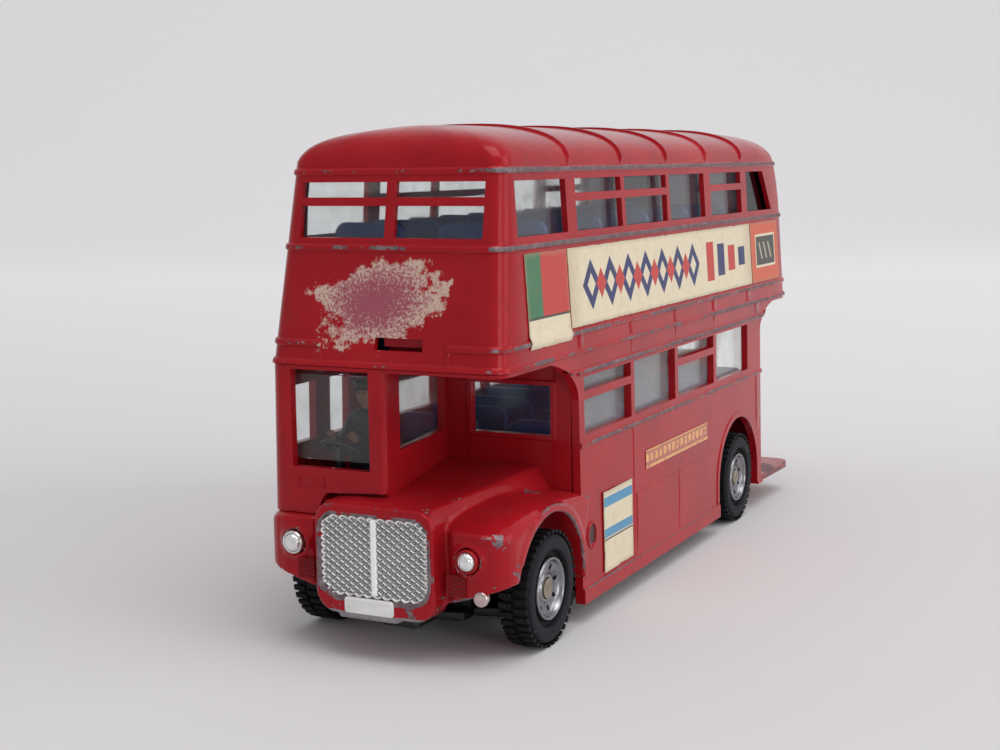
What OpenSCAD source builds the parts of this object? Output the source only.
// Toy double-deck bus with a half cab, an open rear platform and four free-running wheels.
// Sizes in millimetres. The origin is on the ground under the middle of the bus.
// The front faces -Y, the open bonnet side is +X and up is +Z.

/* [Body] */
// Overall length from the radiator face to the rear wall bead
body_length = 121; // [112:0.5:132]
// Width across the skirt ledge
skirt_width = 35; // [32:0.1:38]
// Width of the walls at the deck seam
seam_width = 33.2; // [31:0.1:35]
// Width of the walls at the roof gutter
gutter_width = 30.1; // [27:0.1:32]
// Wall thickness of the castings
wall = 1.1; // [0.8:0.05:1.5]
// Radius of the front corners seen from above
front_corner = 2.1; // [1.4:0.1:2.8]
// Radius of the rear corners seen from above
rear_corner = 2.2; // [1.6:0.1:4]
// Distance from the radiator face back to the cab front
nose_length = 3.4; // [2.4:0.1:5]
// How far the front wall leans back at the gutter
front_rake = 3.9; // [2:0.1:5]
// Gap between pieces that are fastened together
fit = 0.12; // [0.06:0.01:0.2]

/* [Levels] */
// Ground to the bottom edge of the skirt
ground_gap = 2.8; // [2.4:0.1:4]
// Height of the skirt ledge
skirt_h = 2; // [1:0.1:3]
// Bottom edge of the skirt up to the deck seam
lower_h = 33.5; // [31:0.1:36]
// Deck seam down to the heads of the lower windows
lower_head_drop = 3.3; // [2.4:0.1:5]
// Height of the lower windows
lower_window_h = 7.7; // [5:0.1:9]
// Lower window sill down to the waist bead
waist_drop = 1.2; // [0.8:0.1:2.5]
// Deck seam down to the low rail
low_rail_drop = 2.5; // [1.6:0.1:3]
// Deck seam up to the top rail
top_rail_rise = 2.6; // [1.8:0.1:4]
// Deck seam up to the sills of the upper windows
upper_sill_rise = 15.8; // [13:0.1:18]
// Height of the upper windows
upper_window_h = 6.8; // [5:0.1:8]
// Upper window sill down to the belt bead
belt_drop = 1.2; // [0.8:0.1:2.5]
// Heads of the upper windows up to the gutter bead
gutter_rise = 1.3; // [1:0.1:2.5]
// Gutter up to the roof crest
roof_rise = 5.7; // [4:0.1:8]
// Upper window sill down to the start of the rear dome
rear_dome_drop = 0.6; // [0.3:0.1:4]

/* [Beads and ribs] */
// Height of the flat of a bead
bead_h = 0.6; // [0.3:0.05:1]
// Height of the slope on each side of a bead
bead_slope = 0.18; // [0.1:0.02:0.3]
// How far a bead stands out of the wall
bead_proud = 0.3; // [0.15:0.05:0.5]
// Width of a roof rib
rib_w = 1; // [0.5:0.1:2]
// How far a roof rib stands out of the roof
rib_proud = 0.35; // [0.15:0.05:0.6]
// Length of the front roof dome
front_dome = 9; // [5:0.5:14]
// Length of the rear roof dome
rear_dome = 10; // [8:0.5:16]
// Shape of the roof's arch: 1 is half an ellipse, less is fuller
roof_fullness = 0.8; // [0.7:0.05:1]

/* [Bays and windows] */
// Cab front back to the bulkhead behind the bonnet
cab_length = 23.1; // [20:0.1:26]
// Length of the open rear platform
platform_length = 16.2; // [13:0.1:19]
// Last pillar back to the end of the nearside wall
platform_step = 6.6; // [4:0.1:9]
// Width of a wide upper pillar
wide_pillar = 3; // [2:0.1:4]
// Width of a thin pillar
thin_pillar = 1.3; // [0.9:0.1:2]
// Front corner up to the first upper side window
first_window_back = 4.2; // [3.6:0.1:7]
// Length of the rear quarter window at its sill
quarter_window = 13.8; // [8:0.1:14.6]
// How far the rear edge of the quarter window leans forward
quarter_lean = 4.2; // [1:0.1:5]
// Corner radius of the windows
window_r = 0.55; // [0.2:0.05:1.2]
// Height of a half-drop window bar
bar_h = 1.05; // [0.6:0.05:1.6]
// Share of the upper window height below the bar
upper_bar_share = 0.57; // [0.4:0.01:0.7]
// Share of the lower window height below the bar
lower_bar_share = 0.62; // [0.4:0.01:0.7]
// Width of the middle pillar between the front panes
front_pillar = 1.3; // [0.8:0.1:3]
// Pillar left at each front corner beside the panes
front_corner_pillar = 2.2; // [1.8:0.1:3.2]
// Width of the slot in the front wall
slot_w = 6.6; // [4:0.1:9]
// Height of the slot in the front wall
slot_h = 1.6; // [0.8:0.1:2.2]
// Middle of the slot off the middle line, towards the nearside
slot_off = 2.3; // [0:0.1:4]
// Height of the slot's upper edge over the top rail
slot_rise = 1; // [0.3:0.1:1.5]
// Width of the rear window
rear_window_w = 19; // [12:0.5:22]

/* [Cab] */
// Nearside edge of the cab front, off the middle line
cab_edge = 0.2; // [-1.5:0.1:1.5]
// How far the cab side runs in towards the offside at the bulkhead
cab_taper = 3.4; // [0.5:0.1:4.5]
// Width of the windscreen
windscreen_w = 11.4; // [8:0.1:13]
// Nearside edge of the windscreen to the cab edge
windscreen_edge = 2.2; // [1.4:0.1:3]
// Bonnet end up to the windscreen sill
windscreen_rise = 2.1; // [1.2:0.1:4]
// Windscreen head under the deck seam
windscreen_head = 0.4; // [0.3:0.1:3]
// Bonnet end up to the bottom edge of the cab front
cab_rise = 0.6; // [0.3:0.1:1]
// Cab side window length
cab_window_l = 12; // [6:0.1:14]
// Cab side window setback behind the cab front
cab_window_back = 4.2; // [3:0.1:8]
// Width of the bulkhead window
bulkhead_window_w = 11.8; // [6:0.1:13]
// Height of the bulkhead window
bulkhead_window_h = 6.7; // [4:0.1:8]
// Edge of the bulkhead window to the middle line
bulkhead_window_x = 1; // [0:0.1:3]
// Length of the bracket over the bonnet opening
bay_bracket = 13; // [6:0.5:16]
// Depth of the bracket over the bonnet opening
bay_bracket_drop = 6; // [3:0.5:8]
// Length of the bracket over the platform opening
platform_bracket = 12.5; // [5:0.5:14]
// Depth of the bracket over the platform opening
platform_bracket_drop = 4.8; // [2:0.1:7]
// Nearside edge of the rear wall, off the middle line
rear_wall_edge = 3; // [-2:0.5:8]

/* [Front unit] */
// Width of the radiator shell
shell_w = 17; // [15:0.1:18]
// Bottom edge of the radiator shell above the skirt edge
shell_rise = 2.9; // [2:0.1:4]
// Height of the radiator shell
shell_h = 13.2; // [11:0.1:14]
// Corner radius of the radiator shell
shell_r = 2.6; // [1.2:0.1:4]
// Width of the grille
grille_w = 15; // [12:0.1:15.6]
// Height of the grille
grille_h = 10.2; // [8:0.1:11]
// Top of the radiator shell down to the grille
grille_drop = 0.6; // [0.4:0.05:1.2]
// Corner radius of the grille
grille_r = 2.1; // [1:0.1:3]
// Thickness of the grille
grille_t = 0.7; // [0.4:0.05:1]
// Width of the number plate
plate_w = 7; // [5:0.1:9]
// Height of the number plate
plate_h = 2; // [1.2:0.1:2.2]
// Thickness of the number plate
plate_t = 0.35; // [0.2:0.05:0.6]
// Rise of the bonnet from the radiator to the bulkhead
bonnet_rise = 2.3; // [1:0.1:2.6]
// Half width of the bonnet top at the radiator
bonnet_front = 7.4; // [6:0.1:8]
// Nearside half width of the bonnet top at the bulkhead
bonnet_rear = 10.6; // [8:0.1:11]
// How far the bonnet side spreads below its top edge
bonnet_flare = 1.2; // [0.4:0.1:1.5]
// Radiator face back to the wing front
wing_back = 1.1; // [0.6:0.1:2]
// Height of the wing crown above the axle
wing_crown = 11.6; // [11:0.1:12]
// Height of the inner end of the wing front above the axle
wing_front_in = 0.8; // [0:0.1:2]
// Height of the outer end of the wing front above the axle
wing_front_out = 3.3; // [2:0.1:4]
// Depth of the wing front panel
wing_panel = 3.2; // [2:0.1:4]
// Radius of the front wheel arch
front_arch = 9.8; // [9:0.1:10.2]
// Outer edge of the wing in to the middle of a headlamp
lamp_inset = 4.95; // [3.4:0.05:6.4]
// Height of the headlamps above the axle
lamp_rise = 6.3; // [5:0.1:7]
// Radius of a headlamp
lamp_r = 1.55; // [1:0.05:2]
// Depth of a headlamp seat
lamp_seat = 1.2; // [0.6:0.1:1.6]
// Radius of the fog-lamp stub
fog_r = 1.1; // [0.6:0.05:1.2]

/* [Wheels] */
// Cab front back to the front axle
front_axle_back = 12.1; // [11.5:0.1:12.6]
// End of the nearside wall forward to the rear axle
rear_axle_fore = 13; // [12:0.1:15]
// Radius of a tyre
tyre_r = 7.5; // [6.8:0.1:8]
// Width of a tyre
tyre_w = 4.2; // [3.6:0.1:6]
// Edge rounding of a tyre
tyre_round = 0.9; // [0.3:0.1:1.2]
// Radius of a hub rim
hub_r = 4.1; // [3.4:0.1:5]
// Depth of the dish in a hub
hub_dish = 1.1; // [0.4:0.1:1.8]
// Width of the hub rim ring
rim_w = 0.7; // [0.4:0.05:1]
// Outer face of a tyre in from the skirt ledge
wheel_inset = 0.2; // [0:0.05:1]
// Radius of an axle
axle_r = 0.8; // [0.6:0.05:1]
// Radius of a peened axle head
axle_head_r = 1.3; // [1.1:0.05:1.8]
// Length of a peened axle head
axle_head = 0.5; // [0.3:0.05:0.7]
// Running gap between hub bore and axle
run_fit = 0.05; // [0.02:0.01:0.09]
// Side gap between hub and axle bearer
side_play = 0.3; // [0.15:0.05:0.5]
// Radius of the rear wheel arch
rear_arch = 10.3; // [9.5:0.1:10.8]

/* [Base] */
// Thickness of the base plate
base_t = 1.2; // [0.8:0.1:1.4]
// Thickness of the shelves that the rivets hold
shelf_t = 1.1; // [0.8:0.1:1.6]
// Length of an axle bearer
bearer_l = 4.4; // [3.6:0.1:6]
// Width of an axle bearer
bearer_w = 2.4; // [1.6:0.1:3]
// Metal over the axle in a bearer
bearer_over = 1.4; // [1:0.1:1.6]
// Radius of a rivet shank
rivet_r = 1; // [0.7:0.05:1.3]
// Radius of a rivet head
rivet_head_r = 1.7; // [1.5:0.05:2.2]
// Height of a rivet head
rivet_head = 0.5; // [0.3:0.05:0.6]
// Cab front back to the front rivet
front_rivet_back = 5.4; // [4:0.1:7]
// End of the nearside wall forward to the rear rivet
rear_rivet_fore = 5; // [4:0.1:7]

/* [Inside] */
// Thickness of the glazing
glass_t = 0.7; // [0.5:0.05:0.9]
// Thickness of the seat floors
floor_t = 1; // [0.7:0.1:1.4]
// Height of the upper seat backs above the deck
upper_seat_h = 17.4; // [14:0.1:18.5]
// Height of the lower seat backs above their floor
lower_seat_h = 9.6; // [7:0.1:11]
// Height of the seat cushions under the tops of the backs
cushion_drop = 4.6; // [3:0.1:6]
// Thickness of a seat back
back_t = 1.3; // [0.8:0.1:2]
// Depth of a seat cushion
cushion_l = 4; // [3:0.1:5]
// Width of the gangway between the seats
gangway = 5; // [4:0.1:7]
// Seat rows in one bay
rows_per_bay = 2; // [1:1:2]
// Gap between the tyres and the lower floor
floor_gap = 1; // [0.6:0.1:1.5]

/* [Driver] */
// Distance of the driver from the middle line
driver_x = 9; // [8:0.1:10]
// Cab front back to the driver
driver_back = 9.2; // [8.6:0.1:10]
// Gap between the driver's cap and the ceiling
driver_headroom = 1.5; // [0.8:0.1:3]
// Width of the driver across the shoulders
driver_w = 5.4; // [4:0.1:6]
// Height of the cab inner moulding around the driver
dash_h = 5.6; // [4:0.1:6]
// Radius of the driver's head
head_r = 1.55; // [1.2:0.05:1.8]
// Radius of the steering wheel
steer_r = 2.3; // [1.8:0.1:2.5]
// Radius of the steering wheel rim
steer_rim = 0.3; // [0.2:0.02:0.4]
// Tilt of the steering wheel
steer_tilt = 32; // [20:1:45]

/* [Labels] */
// Thickness of a paper label
label_t = 0.1; // [0.06:0.02:0.2]
// Gap kept above and below the side label
label_gap = 0.35; // [0.2:0.05:1]
// Front end of the side label ahead of the bulkhead
label_front = 2.5; // [0:0.1:5]
// Rear end of the side label behind the last pillar
label_rear = 2.6; // [0:0.1:6]
// Length of the rear end label
end_label_l = 15.6; // [10:0.1:16]
// Width of the upper sticker
upper_sticker_w = 12.4; // [8:0.1:13]
// Width of the lower sticker
lower_sticker_w = 10.6; // [8:0.1:13]
// Height of the lower sticker
lower_sticker_h = 11.2; // [6:0.1:12]
// Length of the gold line
gold_l = 27; // [15:0.5:30]
// Height of the gold line
gold_h = 2.8; // [1:0.1:4]
// Waist bead down to the middle of the gold line
gold_drop = 6; // [3:0.1:8]

/* [Hidden] */
$fn = 48;

// Steps in a quarter circle of a corner
corner_steps = 5;
// Roof rings, as angles up the dome
roof_angles = [0, 14, 28, 42, 56, 70, 83];
// Levels between belt and gutter where the rear dome gets a ring
dome_shares = [0.28, 0.52, 0.76];
// A length past every face, for cuts that go right through
past = body_length;

// Levels above the ground
deck_z = ground_gap + lower_h;
skirt_top_z = ground_gap + skirt_h;
lower_head_z = deck_z - lower_head_drop;
lower_sill_z = lower_head_z - lower_window_h;
waist_z = lower_sill_z - waist_drop;
low_rail_z = deck_z - low_rail_drop;
top_rail_z = deck_z + top_rail_rise;
upper_sill_z = deck_z + upper_sill_rise;
upper_head_z = upper_sill_z + upper_window_h;
belt_z = upper_sill_z - belt_drop;
gutter_z = upper_head_z + gutter_rise;
crest_z = gutter_z + roof_rise;
rear_dome_z = upper_sill_z - rear_dome_drop;
lower_top_z = deck_z - fit;
ceiling_z = lower_top_z - wall;
axle_z = tyre_r;
base_z = ground_gap + fit;
base_top_z = base_z + base_t;
shelf_z = base_top_z + fit;
shelf_top_z = shelf_z + shelf_t;
seat_floor_z = 2 * tyre_r + floor_gap;
bead_half = bead_h / 2 + bead_slope;

// Half widths
skirt_half = skirt_width / 2 - bead_proud;
seam_half = seam_width / 2;
gutter_half = gutter_width / 2;
lower_lean = (skirt_half - seam_half) / lower_h;
upper_lean = (seam_half - gutter_half) / (gutter_z - deck_z);
wheel_out = skirt_width / 2 - wheel_inset;
wheel_in = wheel_out - tyre_w;
bearer_out = wheel_in - side_play;

// Lengths, front is negative
radiator_y = -body_length / 2;
cab_front_y = radiator_y + nose_length;
rear_wall_y = body_length / 2 - bead_proud;
bulkhead_y = cab_front_y + cab_length;
last_pillar = 4;
saloon_end_y = rear_wall_y - platform_length;
bay_pitch = (saloon_end_y - platform_step - bulkhead_y) / last_pillar;
front_axle_y = cab_front_y + front_axle_back;
rear_axle_y = saloon_end_y - rear_axle_fore;
unit_end_y = bulkhead_y - wall - 2 * fit;
front_rivet_y = cab_front_y + front_rivet_back;
rear_rivet_y = saloon_end_y - rear_rivet_fore;
wing_front_y = radiator_y + wing_back;

// Front unit levels
shell_z = ground_gap + shell_rise;
shell_top_z = shell_z + shell_h;
grille_top_z = shell_top_z - grille_drop;
bonnet_end_z = shell_top_z + bonnet_rise;
cab_bottom_z = bonnet_end_z + cab_rise;
windscreen_z = bonnet_end_z + windscreen_rise;
wing_top_z = axle_z + wing_crown;
lamp_z = axle_z + lamp_rise;
cab_shelf_z = wing_top_z - bonnet_flare;
wing_in = shell_w / 2 - wall;
web_out = wheel_in - side_play;

function pillar_y(i) = bulkhead_y + i * bay_pitch;
function half_w(z) = z < deck_z
    ? seam_half + (deck_z - z) * lower_lean
    : seam_half - (z - deck_z) * upper_lean;
function front_y(z) = z < deck_z
    ? cab_front_y
    : cab_front_y + front_rake * (z - deck_z) / (gutter_z - deck_z);
function dome_reach(z) = min((z - rear_dome_z) / (crest_z - rear_dome_z), 1);
function rear_y(z) = z < rear_dome_z
    ? rear_wall_y
    : rear_wall_y - rear_dome * (1 - sqrt(1 - dome_reach(z) * dome_reach(z)));
function arc(x, y, r, a0, a1, n) = [for (i = [0:n])
    [x + r * cos(a0 + (a1 - a0) * i / n), y + r * sin(a0 + (a1 - a0) * i / n)]];
// The same arc, drawn out to a length and a height
function bow(x, y, reach, rise, a0, a1, n) = [for (p = arc(0, 0, 1, a0, a1, n))
    [x + reach * p[0], y + rise * p[1]]];
function outline(half, yf, yr, rf, rr) = concat(
    arc(half - rf, yf + rf, rf, -90, 0, corner_steps),
    arc(half - rr, yr - rr, rr, 0, 90, corner_steps),
    arc(-half + rr, yr - rr, rr, 90, 180, corner_steps),
    arc(-half + rf, yf + rf, rf, 180, 270, corner_steps));
function at_height(ring, z) = [for (p = ring) [p[0], p[1], z]];
// One ring of the body at a level, grown outwards by an amount
function body_ring(z, grow) = at_height(outline(half_w(z) + grow, front_y(z) - grow,
    rear_y(z) + grow, front_corner + grow, rear_corner + grow), z);
// One ring of the roof at an angle up the dome
function swell(share) = pow(share, roof_fullness);
function roof_level(a, grow) = gutter_z + bead_half + (roof_rise - bead_half + grow) * swell(sin(a));
function roof_half(a, grow) = (half_w(gutter_z) + grow) * swell(cos(a));
function roof_round(a, r, grow) = min(r + grow + (roof_rise - r / 2) * (1 - cos(a)),
    roof_half(a, grow) * (1 - roof_slack_share));
roof_slack_share = 0.06;
function roof_ring(a, grow) = at_height(outline(roof_half(a, grow),
    front_y(gutter_z) - grow + front_dome * (1 - swell(cos(a))),
    rear_y(min(roof_level(a, 0), crest_z)) + grow,
    roof_round(a, front_corner, grow), roof_round(a, rear_corner, grow)),
    roof_level(a, grow));
function bead(z) = [[z - bead_half, 0], [z - bead_h / 2, bead_proud],
    [z + bead_h / 2, bead_proud], [z + bead_half, 0]];
dome_levels = [for (s = dome_shares)
    belt_z + bead_half + s * (gutter_z - belt_z - 2 * bead_half)];

// A closed solid through a stack of rings
module loft(rings) {
    n = len(rings[0]);
    m = len(rings);
    sides = [for (k = [0:m - 2], i = [0:n - 1])
        [k * n + i, (k + 1) * n + i, (k + 1) * n + (i + 1) % n, k * n + (i + 1) % n]];
    bottom = [for (i = [0:n - 1]) i];
    top = [for (i = [0:n - 1]) m * n - 1 - i];
    polyhedron([for (r = rings) each r], concat([bottom], sides, [top]), convexity = 6);
}

// A rounded rectangle with its corner at the origin
module rounded(w, h, r) {
    translate([r, 0]) square([w - 2 * r, h]);
    translate([0, r]) square([w, h - 2 * r]);
    for (x = [r, w - r], y = [r, h - r]) translate([x, y]) circle(r);
}

// A shape drawn in Y and Z, made thick along X
module along_x(x0, x1) translate([x0, 0, 0]) rotate([90, 0, 90]) linear_extrude(x1 - x0) children();

// A shape drawn in X and Z, made thick along Y
module along_y(y0, y1) translate([0, y1, 0]) rotate([90, 0, 0]) linear_extrude(y1 - y0) children();

module box(x0, x1, y0, y1, z0, z1) translate([x0, y0, z0]) cube([x1 - x0, y1 - y0, z1 - z0]);

// A cylinder along X
module rod_x(x0, x1, y, z, r) translate([x0, y, z]) rotate([0, 90, 0]) cylinder(h = x1 - x0, r = r);

// A cylinder along Y
module rod_y(y0, y1, x, z, r) translate([x, y1, z]) rotate([90, 0, 0]) cylinder(h = y1 - y0, r = r);

// Window opening drawn in two directions, with or without a bar left across it
module pane(a0, a1, z0, z1, bar) {
    share = z0 < deck_z ? lower_bar_share : upper_bar_share;
    bar_z = z0 + (z1 - z0) * share;
    if (bar) {
        translate([a0, z0]) rounded(a1 - a0, bar_z - z0, window_r);
        translate([a0, bar_z + bar_h]) rounded(a1 - a0, z1 - bar_z - bar_h, window_r);
    }
    else translate([a0, z0]) rounded(a1 - a0, z1 - z0, window_r);
}

// Openings in the sides of the upper deck
module upper_side_panes() {
    thin = thin_pillar / 2;
    wide = wide_pillar / 2;
    rear = pillar_y(last_pillar) + wide_pillar - thin;
    pane(front_y(upper_sill_z) + first_window_back, pillar_y(0) - wide, upper_sill_z,
        upper_head_z, false);
    pane(pillar_y(0) + wide, pillar_y(1) - thin, upper_sill_z, upper_head_z, true);
    pane(pillar_y(1) + thin, pillar_y(2) - thin, upper_sill_z, upper_head_z, true);
    pane(pillar_y(2) + thin, pillar_y(3) - wide, upper_sill_z, upper_head_z, false);
    pane(pillar_y(3) + wide, pillar_y(4) - thin, upper_sill_z, upper_head_z, true);
    polygon([[rear, upper_sill_z], [rear + quarter_window, upper_sill_z],
        [rear + quarter_window - quarter_lean, upper_head_z], [rear, upper_head_z]]);
}

// Openings in the lower sides, the same on both sides
module lower_side_panes() {
    thin = thin_pillar / 2;
    for (i = [0:last_pillar - 1])
        pane(pillar_y(i) + thin, pillar_y(i + 1) - thin, lower_sill_z, lower_head_z, i % 2 == 0);
}

module upper_front_panes() {
    outer = half_w(upper_head_z) - front_corner_pillar;
    pane(front_pillar / 2, outer, upper_sill_z, upper_head_z, true);
    pane(-outer, -front_pillar / 2, upper_sill_z, upper_head_z, true);
}

module upper_outside() loft(concat(
    [body_ring(deck_z, bead_proud)],
    [body_ring(deck_z + bead_h, bead_proud), body_ring(deck_z + bead_h + bead_slope, 0)],
    [for (b = bead(top_rail_z)) body_ring(b[0], b[1])],
    [for (b = bead(belt_z)) body_ring(b[0], b[1])],
    [for (z = dome_levels) body_ring(z, 0)],
    [for (b = bead(gutter_z)) if (b[0] < gutter_z + bead_half) body_ring(b[0], b[1])],
    [for (a = roof_angles) roof_ring(a, 0)]));

module upper_inside() loft(concat(
    [body_ring(deck_z - wall, -wall), body_ring(belt_z, -wall)],
    [for (z = dome_levels) body_ring(z, -wall)],
    [body_ring(gutter_z, -wall)],
    [for (a = roof_angles) roof_ring(a, -wall)]));

module roof_ribs() intersection() {
    loft([for (a = roof_angles) roof_ring(a, rib_proud)]);
    for (i = [0:last_pillar])
        box(-past, past, pillar_y(i) - rib_w / 2, pillar_y(i) + rib_w / 2, gutter_z, crest_z + past);
}

module upper_body() color("#a51a22") difference() {
    union() {
        upper_outside();
        roof_ribs();
    }
    upper_inside();
    along_x(-past, past) upper_side_panes();
    along_y(-past, bulkhead_y) upper_front_panes();
    along_y(pillar_y(last_pillar), past)
        pane(-rear_window_w / 2, rear_window_w / 2, upper_sill_z, upper_head_z, false);
    box(slot_off - slot_w / 2, slot_off + slot_w / 2, -past, bulkhead_y,
        top_rail_z + slot_rise - slot_h, top_rail_z + slot_rise);
}

module lower_outside() loft(concat(
    [body_ring(ground_gap, bead_proud), body_ring(skirt_top_z, bead_proud)],
    [body_ring(skirt_top_z + bead_slope, 0)],
    [for (b = bead(waist_z)) body_ring(b[0], b[1])],
    [for (b = bead(low_rail_z)) body_ring(b[0], b[1])],
    [body_ring(lower_top_z, 0)]));

module lower_inside() loft([body_ring(ground_gap - wall, -wall), body_ring(ceiling_z, -wall)]);

// Plan of the space over the bonnet, in from the nearside wall
module bay_plan() polygon([[cab_edge, -past], [past, -past], [past, bulkhead_y],
    [cab_edge - cab_taper, bulkhead_y], [cab_edge, cab_front_y]]);

// Plan of the inside of the cab
module cab_plan() polygon([[-past, -past], [cab_edge - wall, -past], [cab_edge - wall, cab_front_y],
    [cab_edge - cab_taper - wall, bulkhead_y], [-past, bulkhead_y]]);

// Opening in the nearside wall over the bonnet, with its bracket
module bay_side() polygon(concat([[-past, -past], [bulkhead_y - wall, -past]],
    bow(bulkhead_y - wall - bay_bracket, lower_top_z - bay_bracket_drop, bay_bracket, bay_bracket_drop,
        0, 90, 2 * corner_steps),
    [[-past, lower_top_z]]));

// Opening in the nearside wall at the platform, with its bracket
module platform_side() polygon(concat([[past, shelf_top_z], [past, lower_top_z]],
    bow(saloon_end_y + platform_bracket, lower_top_z - platform_bracket_drop, platform_bracket,
        platform_bracket_drop, 90, 180, 2 * corner_steps), [[saloon_end_y, shelf_top_z]]));

module lower_body() color("#a51a22") difference() {
    union() {
        difference() {
            lower_outside();
            // Saloon and cab hollows
            intersection() {
                lower_inside();
                box(-past, past, bulkhead_y + wall, past, -past, past);
            }
            intersection() {
                lower_inside();
                translate([0, 0, -past]) linear_extrude(2 * past) cab_plan();
            }
            // Space over the bonnet and the openings in the nearside wall
            intersection() {
                translate([0, 0, -past]) linear_extrude(past + ceiling_z) bay_plan();
                box(-past, seam_half - wall, -past, past, -past, past);
            }
            along_x(seam_half - wall - fit, past) bay_side();
            along_x(seam_half - wall - fit, past) platform_side();
            box(rear_wall_edge, past, saloon_end_y, past, shelf_top_z, ceiling_z);
            // Room for the front unit
            box(-wing_in - fit, past, -past, unit_end_y + fit, -past, cab_bottom_z);
            box(-wing_in - fit, seam_half - wall, -past, bulkhead_y, -past, cab_bottom_z);
            box(-past, past, -past, unit_end_y + fit, -past, wing_top_z + fit);
            // Wheel arches and windows
            rod_x(-past, past, rear_axle_y, axle_z, rear_arch);
            along_x(-past, past) lower_side_panes();
            along_x(-past, -seam_half + 2 * wall) pane(cab_front_y + cab_window_back, bulkhead_y - wall,
                lower_sill_z, lower_head_z, false);
            along_x(cab_edge - cab_taper - 2 * wall, seam_half / 2) pane(cab_front_y + cab_window_back,
                cab_front_y + cab_window_back + cab_window_l, lower_sill_z - waist_drop / 2,
                lower_head_z, false);
            along_y(-past, cab_front_y + 2 * wall) pane(cab_edge - windscreen_edge - windscreen_w,
                cab_edge - windscreen_edge, windscreen_z, lower_top_z - windscreen_head, false);
            along_y(bulkhead_y - wall, bulkhead_y + 2 * wall) pane(bulkhead_window_x,
                bulkhead_window_x + bulkhead_window_w, lower_head_z - bulkhead_window_h - wall,
                lower_head_z - wall, false);
            along_y(saloon_end_y, past) pane(-rear_window_w / 2, -wall, lower_sill_z, lower_head_z, false);
        }
        // Floor of the platform and the shelf that the rear rivet holds
        intersection() {
            lower_outside();
            box(-past, past, saloon_end_y, past, shelf_z, shelf_top_z);
        }
        box(-bearer_out + side_play, bearer_out - side_play, rear_rivet_y - rivet_head_r - wall,
            saloon_end_y + wall, shelf_z, shelf_top_z);
        // Tab that fills the slot from behind
        box(slot_off - slot_w / 2 + fit, slot_off + slot_w / 2 - fit, front_y(top_rail_z) + wall + fit,
            front_y(top_rail_z) + 2 * wall + fit, ceiling_z, top_rail_z + slot_rise);
    }
    translate([0, rear_rivet_y, 0]) cylinder(h = shelf_top_z + wall, r = rivet_r + run_fit);
    // Skirt stepped up behind the rear wheels, to the underside of the platform
    box(-past, past, rear_axle_y, past, -past, shelf_z);
    // Way under the bulkhead for the base plate and the lower floor
    box(-half_w(seat_floor_z) + wall, half_w(seat_floor_z) - wall, bulkhead_y - wall,
        bulkhead_y + 2 * wall, -past, seat_floor_z + floor_t + 2 * fit);
}

// Top edge of the wing from front to rear, as shares of its length and of its crown height
wing_shares = [[0, 0.77], [0.1, 0.87], [0.3, 0.97], [0.5, 1], [0.7, 0.97], [1, 0.91]];
// Angle up the front wheel arch where its mouth opens forward
arch_mouth = 40;
wing_l = unit_end_y - wing_front_y;
wing_out = skirt_half + bead_proud / 2;
lamp_x = wing_out - lamp_inset;
web_low_z = axle_z + axle_r + bearer_over + wall;
shell_face_y = radiator_y + plate_t;
shell_back_y = cab_front_y + wall;
bonnet_end_y = bulkhead_y - 2 * fit;
panel_top_z = axle_z + wing_crown * wing_shares[0][1];

// Side view of a wing
module wing_side() polygon(concat(
    [[wing_front_y, axle_z + wing_front_out], [wing_front_y + wing_panel, axle_z + wing_front_out],
        [front_axle_y - front_arch * cos(arch_mouth), axle_z + front_arch * sin(arch_mouth)],
        [front_axle_y, axle_z], [unit_end_y, axle_z]],
    [for (i = [len(wing_shares) - 1:-1:0])
        [wing_front_y + wing_l * wing_shares[i][0], axle_z + wing_crown * wing_shares[i][1]]]));

// Front view of a wing front
module wing_face() polygon([[wing_in, axle_z + wing_front_in], [wing_out, axle_z + wing_front_out],
    [wing_out, panel_top_z], [wing_in, shell_top_z - wall]]);

module wing() difference() {
    union() {
        along_x(wing_in, wing_out) wing_side();
        along_y(wing_front_y, wing_front_y + wing_panel) wing_face();
    }
    box(0, web_out + fit, wing_front_y + wing_panel, past, -past, web_low_z);
}

// One cross-section of the bonnet at a distance along the bus
function bonnet_ring(y, off, near, z, drop) = [[off, y, z], [near, y, z],
    [near + bonnet_flare, y, z - drop], [near + bonnet_flare, y, web_low_z], [off, y, web_low_z]];

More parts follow.
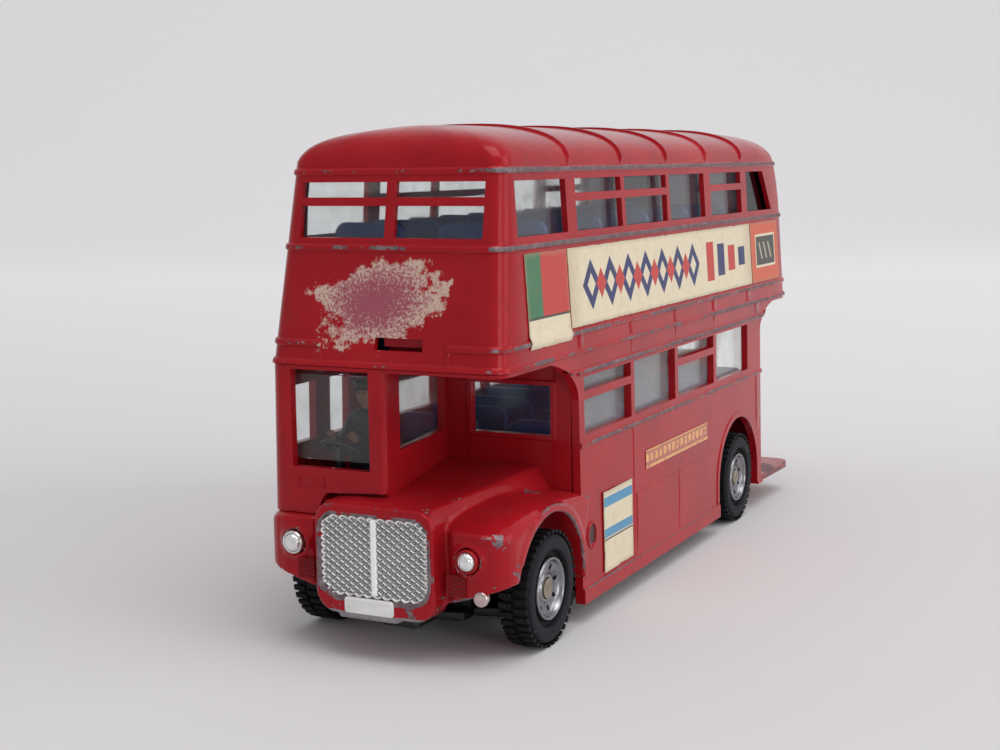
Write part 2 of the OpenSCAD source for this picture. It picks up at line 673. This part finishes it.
module front_unit() color("#a51a22") difference() {
    union() {
        wing();
        mirror([1, 0, 0]) wing();
        loft([bonnet_ring(shell_face_y + wall, -wing_in, bonnet_front, shell_top_z - fit, wall),
            bonnet_ring(bonnet_end_y, cab_edge - cab_taper - wall, bonnet_rear, bonnet_end_z,
                bonnet_rise)]);
        along_y(shell_face_y, shell_back_y) translate([-shell_w / 2, shell_z])
            rounded(shell_w, shell_h, shell_r);
        // Lip under the number plate
        box(-plate_w / 2 - wall, plate_w / 2, radiator_y, shell_face_y + wall, shell_z - plate_t,
            grille_top_z - grille_h - plate_h - run_fit);
        // Fog-lamp stub under the nearside headlamp
        rod_y(wing_front_y - run_fit, wing_front_y + wing_panel, lamp_x + lamp_r,
            axle_z + 2 * fog_r - fit, fog_r);
        // Shelf that the front rivet holds
        box(-shell_w / 4, shell_w / 4, shell_face_y + wall, front_rivet_y + rivet_head_r + wall,
            shelf_z, shelf_top_z);
        box(-shell_w / 4, shell_w / 4, shell_face_y + wall, shell_back_y, shelf_z, shell_z + wall);
    }
    // Wheel arches and headlamp seats
    for (side = [0, 1]) mirror([side, 0, 0]) {
        rod_x(web_out, past, front_axle_y, axle_z, front_arch);
        rod_y(-past, wing_front_y + lamp_seat, lamp_x, lamp_z, lamp_r + run_fit);
    }
    // Hollow under the bonnet
    box(-wing_in + wall, wing_in - wall, shell_back_y - wall, bonnet_end_y - wall, shell_z + 2 * wall,
        shell_top_z - 2 * wall);
    // Seat of the grille
    along_y(-past, shell_face_y + grille_t + fit)
        translate([-grille_w / 2 - run_fit, grille_top_z - grille_h - run_fit])
            rounded(grille_w + 2 * run_fit, grille_h + 2 * run_fit, grille_r);
    translate([0, front_rivet_y, 0]) cylinder(h = shelf_top_z + wall, r = rivet_r + run_fit);
}

module radiator_grille() color("#c8c8c8") along_y(shell_face_y + fit / 2, shell_face_y + grille_t)
    translate([-grille_w / 2, grille_top_z - grille_h]) rounded(grille_w, grille_h, grille_r);

module headlamp() color("#d8dadb") intersection() {
    rod_y(-past, wing_front_y + lamp_seat - fit, lamp_x, lamp_z, lamp_r);
    translate([lamp_x, wing_front_y + lamp_seat, lamp_z]) sphere(r = lamp_seat + lamp_r / 3);
}

module headlamp_nearside() headlamp();

module headlamp_offside() mirror([1, 0, 0]) headlamp();

module number_plate() color("#e8e6df") box(-plate_w / 2 - wall / 2, plate_w / 2 - wall / 2, radiator_y,
    shell_face_y - run_fit, grille_top_z - grille_h - plate_h, grille_top_z - grille_h);

base_half = half_w(base_z) - wall - 2 * fit;
base_end_y = saloon_end_y - 2 * fit;
wheel_room = tyre_r + wall;

module base_plate() color("#1c1d1f") difference() {
    union() {
        box(-bearer_out, bearer_out, front_rivet_y - rivet_head_r - wall, base_end_y, base_z, base_top_z);
        box(-base_half, base_half, bulkhead_y - wall + fit, rear_axle_y - wheel_room, base_z, base_top_z);
        if (rear_axle_y + wheel_room < base_end_y)
            box(-base_half, base_half, rear_axle_y + wheel_room, base_end_y, base_z, base_top_z);
        for (side = [0, 1], y = [front_axle_y, rear_axle_y]) mirror([side, 0, 0])
            box(bearer_out - bearer_w, bearer_out, y - bearer_l / 2, y + bearer_l / 2, base_z,
                axle_z + axle_r + bearer_over);
    }
    for (y = [front_axle_y, rear_axle_y]) rod_x(-past, past, y, axle_z, axle_r + run_fit);
    for (y = [front_rivet_y, rear_rivet_y]) translate([0, y, 0])
        cylinder(h = base_top_z + wall, r = rivet_r + run_fit);
    for (y = [front_rivet_y, rear_rivet_y]) translate([0, y, 0])
        cylinder(h = base_z + rivet_head, r = rivet_head_r + run_fit);
}

module base_rivet(y) translate([0, y, 0]) {
    translate([0, 0, base_z + fit / 2]) cylinder(h = rivet_head - fit, r = rivet_head_r);
    translate([0, 0, base_z + fit / 2]) cylinder(h = shelf_top_z + fit - base_z, r = rivet_r);
    translate([0, 0, shelf_top_z + fit / 2]) cylinder(h = rivet_head, r = rivet_head_r);
}

module base_rivets() color("#9a9a9a") for (y = [front_rivet_y, rear_rivet_y]) base_rivet(y);

// Rows of double seats on both sides of a gangway, backs towards the rear
module seat_rows(y0, y1, half, z, h) {
    pitch = bay_pitch / rows_per_bay;
    rows = floor((y1 - y0) / pitch);
    for (i = [0:rows - 1], side = [0, 1]) mirror([side, 0, 0]) {
        box(gangway / 2, half, y0 + i * pitch, y0 + i * pitch + cushion_l, z, z + h - cushion_drop);
        box(gangway / 2, half, y0 + i * pitch + cushion_l, y0 + i * pitch + cushion_l + back_t, z, z + h);
    }
}

upper_seat_half = gutter_half - wall - glass_t - 3 * fit;
upper_seat_y = front_y(gutter_z) + wall + glass_t + 3 * fit;
upper_floor_z = lower_top_z + fit / 2;

module upper_seats() color("#1f4684") {
    box(-upper_seat_half, upper_seat_half, upper_seat_y, saloon_end_y, upper_floor_z,
        upper_floor_z + floor_t);
    seat_rows(upper_seat_y + cushion_l / 2, saloon_end_y, upper_seat_half, upper_floor_z, upper_seat_h);
}

lower_seat_half = seam_half - wall - glass_t - 4 * fit;
lower_floor_half = half_w(seat_floor_z + floor_t) - wall - fit;
lower_seat_y = bulkhead_y + wall + glass_t + 3 * fit;

module lower_seats() color("#1f4684") {
    box(-lower_floor_half, lower_floor_half, lower_seat_y, saloon_end_y - fit, seat_floor_z,
        seat_floor_z + floor_t);
    seat_rows(lower_seat_y + fit, saloon_end_y, lower_seat_half, seat_floor_z, lower_seat_h);
    // Legs that stand on the base plate
    for (i = [0, 2]) box(-gangway / 2, gangway / 2, pillar_y(i) + bay_pitch / 2,
        pillar_y(i) + bay_pitch, base_top_z + fit, seat_floor_z + floor_t);
}

module upper_glazing() color("#cfd8d8", 0.4) difference() {
    loft([for (z = concat([belt_z], dome_levels, [gutter_z])) body_ring(z, -wall - fit)]);
    loft([for (z = concat([belt_z - wall, belt_z], dome_levels, [gutter_z, gutter_z + wall]))
        body_ring(z, -wall - fit - glass_t)]);
}

// Sheet that lies against the inside of the lower walls
module lower_glass_sheet() difference() {
    loft([body_ring(waist_z, -wall - fit), body_ring(ceiling_z - fit, -wall - fit)]);
    loft([body_ring(waist_z - wall, -wall - fit - glass_t), body_ring(lower_top_z, -wall - fit - glass_t)]);
}

module lower_glazing(y1) intersection() {
    lower_glass_sheet();
    box(seam_half - 3 * wall, past, bulkhead_y + wall + 2 * fit, y1, waist_z, lower_head_z + wall);
}

module lower_glazing_nearside() color("#cfd8d8", 0.4) lower_glazing(saloon_end_y - 2 * wall);

module lower_glazing_offside() color("#cfd8d8", 0.4) mirror([1, 0, 0])
    lower_glazing(saloon_end_y - 2 * wall);

module bulkhead_glazing() color("#cfd8d8", 0.4) box(bulkhead_window_x - wall,
    bulkhead_window_x + bulkhead_window_w + wall / 2, bulkhead_y + wall + fit,
    bulkhead_y + wall + fit + glass_t, lower_head_z - bulkhead_window_h - 2 * wall, lower_head_z);

module cab_glazing() color("#cfd8d8", 0.4) intersection() {
    union() {
        intersection() {
            lower_glass_sheet();
            translate([-fit, 0, -past]) linear_extrude(2 * past) cab_plan();
        }
        translate([0, 0, -past]) linear_extrude(2 * past) difference() {
            translate([-fit, 0]) cab_plan();
            translate([-fit - glass_t, 0]) cab_plan();
        }
    }
    box(-past, past, cab_front_y + wall + fit, bulkhead_y - fit, windscreen_z - wall / 2,
        ceiling_z - fit);
}

driver_y = cab_front_y + driver_back;
driver_z = wing_top_z + fit;
driver_h = ceiling_z - driver_z - driver_headroom;
driver_seat_h = driver_h / 4;
dash_out = half_w(driver_z) - wall - glass_t - 4 * fit - driver_x;
driver_chest_h = driver_h / 2;
head_share = 1.4;
head_z = driver_z + driver_h - head_share * head_r;

module driver() color("#20304e") translate([-driver_x, driver_y, 0]) {
    box(-dash_out, driver_w / 2, driver_w / 4, driver_w / 2 + back_t, driver_z, driver_z + dash_h);
    box(-driver_w / 2, driver_w / 2, -driver_w / 4, driver_w / 2, driver_z, driver_z + driver_seat_h);
    box(-driver_w / 2, driver_w / 2, 0, driver_w / 2, driver_z, driver_z + driver_chest_h + driver_seat_h);
    for (side = [-1, 1]) rod_y(-driver_w / 2, driver_w / 4, side * (driver_w / 2 - head_r / 2),
        driver_z + driver_chest_h, head_r / 2);
    translate([0, driver_w / 4, driver_z + driver_chest_h])
        cylinder(h = head_z - driver_z - driver_chest_h, r = head_r / 2);
    translate([0, driver_w / 4, head_z]) sphere(r = head_r);
    translate([0, driver_w / 4, head_z + head_r / 2]) cylinder(h = driver_h / 16, r = head_r + bead_proud);
}

steer_y = driver_y - driver_w / 2 - steer_r;
steer_z = driver_z + driver_chest_h - steer_r / 2;

module steering_wheel() color("#222222") {
    translate([-driver_x, steer_y, steer_z]) rotate([-steer_tilt, 0, 0]) {
        rotate_extrude() translate([steer_r - steer_rim, 0]) circle(steer_rim);
        for (a = [0, 90]) rotate([0, 0, a]) translate([-steer_r + steer_rim, 0, 0]) rotate([0, 90, 0])
            cylinder(h = 2 * (steer_r - steer_rim), r = steer_rim);
    }
    translate([-driver_x, steer_y, driver_z]) cylinder(h = steer_z - driver_z, r = 2 * steer_rim);
}

dish_x = wheel_out - fit - hub_dish;
head_x = dish_x + 2 * run_fit;
hub_hole_share = 0.62;
hub_holes = 8;

module axle(y) color("#b4b4b4") {
    rod_x(-head_x - axle_head / 2, head_x + axle_head / 2, y, axle_z, axle_r);
    rod_x(head_x, head_x + axle_head, y, axle_z, axle_head_r);
    rod_x(-head_x - axle_head, -head_x, y, axle_z, axle_head_r);
}

module front_axle() axle(front_axle_y);

module rear_axle() axle(rear_axle_y);

module hub(y) color("#c9ccce") difference() {
    rod_x(wheel_in, wheel_out - fit, y, axle_z, hub_r);
    rod_x(dish_x, past, y, axle_z, hub_r - rim_w);
    rod_x(-past, past, y, axle_z, axle_r + run_fit);
    for (i = [0:hub_holes - 1])
        rod_x(dish_x - rim_w, past, y + hub_hole_share * hub_r * cos(i * 360 / hub_holes),
            axle_z + hub_hole_share * hub_r * sin(i * 360 / hub_holes), rim_w / 2);
}

module tyre(y) color("#17181a") translate([wheel_in, y, axle_z]) rotate([0, 90, 0])
    rotate_extrude() translate([hub_r + run_fit, 0]) rounded(tyre_r - hub_r - run_fit, tyre_w, tyre_round);

module hub_front_nearside() hub(front_axle_y);

module hub_front_offside() mirror([1, 0, 0]) hub(front_axle_y);

module hub_rear_nearside() hub(rear_axle_y);

module hub_rear_offside() mirror([1, 0, 0]) hub(rear_axle_y);

module tyre_front_nearside() tyre(front_axle_y);

module tyre_front_offside() mirror([1, 0, 0]) tyre(front_axle_y);

module tyre_rear_nearside() tyre(rear_axle_y);

module tyre_rear_offside() mirror([1, 0, 0]) tyre(rear_axle_y);

// A thin sheet that lies on the nearside wall
module sheet(y0, y1, z0, z1, lean) translate([half_w(z0) + run_fit / 2, y0, z0])
    rotate([0, -atan(lean), 0]) cube([label_t, y1 - y0, z1 - z0]);

label_z = top_rail_z + bead_half + label_gap;
label_top_z = belt_z - bead_half - label_gap;
label_y = bulkhead_y - label_front;
label_end_y = pillar_y(last_pillar) + label_rear;

module side_label() color("#e2d8be") sheet(label_y, label_end_y, label_z, label_top_z, upper_lean);

module end_label() color("#c8442c") sheet(label_end_y + label_gap,
    label_end_y + label_gap + end_label_l, label_z, label_top_z, upper_lean);

module gold_line() color("#b88a3a") sheet(pillar_y(2) - gold_l / 2, pillar_y(2) + gold_l / 2,
    waist_z - gold_drop - gold_h / 2, waist_z - gold_drop + gold_h / 2, lower_lean);

module side_label_nearside() side_label();

module side_label_offside() mirror([1, 0, 0]) side_label();

module end_label_nearside() end_label();

module end_label_offside() mirror([1, 0, 0]) end_label();

module upper_sticker() color("#4d8a4a") sheet(label_y - label_gap - upper_sticker_w,
    label_y - label_gap, label_z, label_top_z, upper_lean);

module lower_sticker() color("#e2d8be") sheet(pillar_y(1) - thin_pillar - lower_sticker_w,
    pillar_y(1) - thin_pillar, skirt_top_z + bead_slope + label_gap,
    skirt_top_z + bead_slope + label_gap + lower_sticker_h, lower_lean);

module gold_line_nearside() gold_line();

module gold_line_offside() mirror([1, 0, 0]) gold_line();

upper_body();
lower_body();
front_unit();
base_plate();
base_rivets();
radiator_grille();
headlamp_nearside();
headlamp_offside();
number_plate();
upper_seats();
lower_seats();
upper_glazing();
lower_glazing_nearside();
lower_glazing_offside();
bulkhead_glazing();
cab_glazing();
driver();
steering_wheel();
front_axle();
rear_axle();
hub_front_nearside();
hub_front_offside();
hub_rear_nearside();
hub_rear_offside();
tyre_front_nearside();
tyre_front_offside();
tyre_rear_nearside();
tyre_rear_offside();
side_label_nearside();
side_label_offside();
end_label_nearside();
end_label_offside();
upper_sticker();
lower_sticker();
gold_line_nearside();
gold_line_offside();
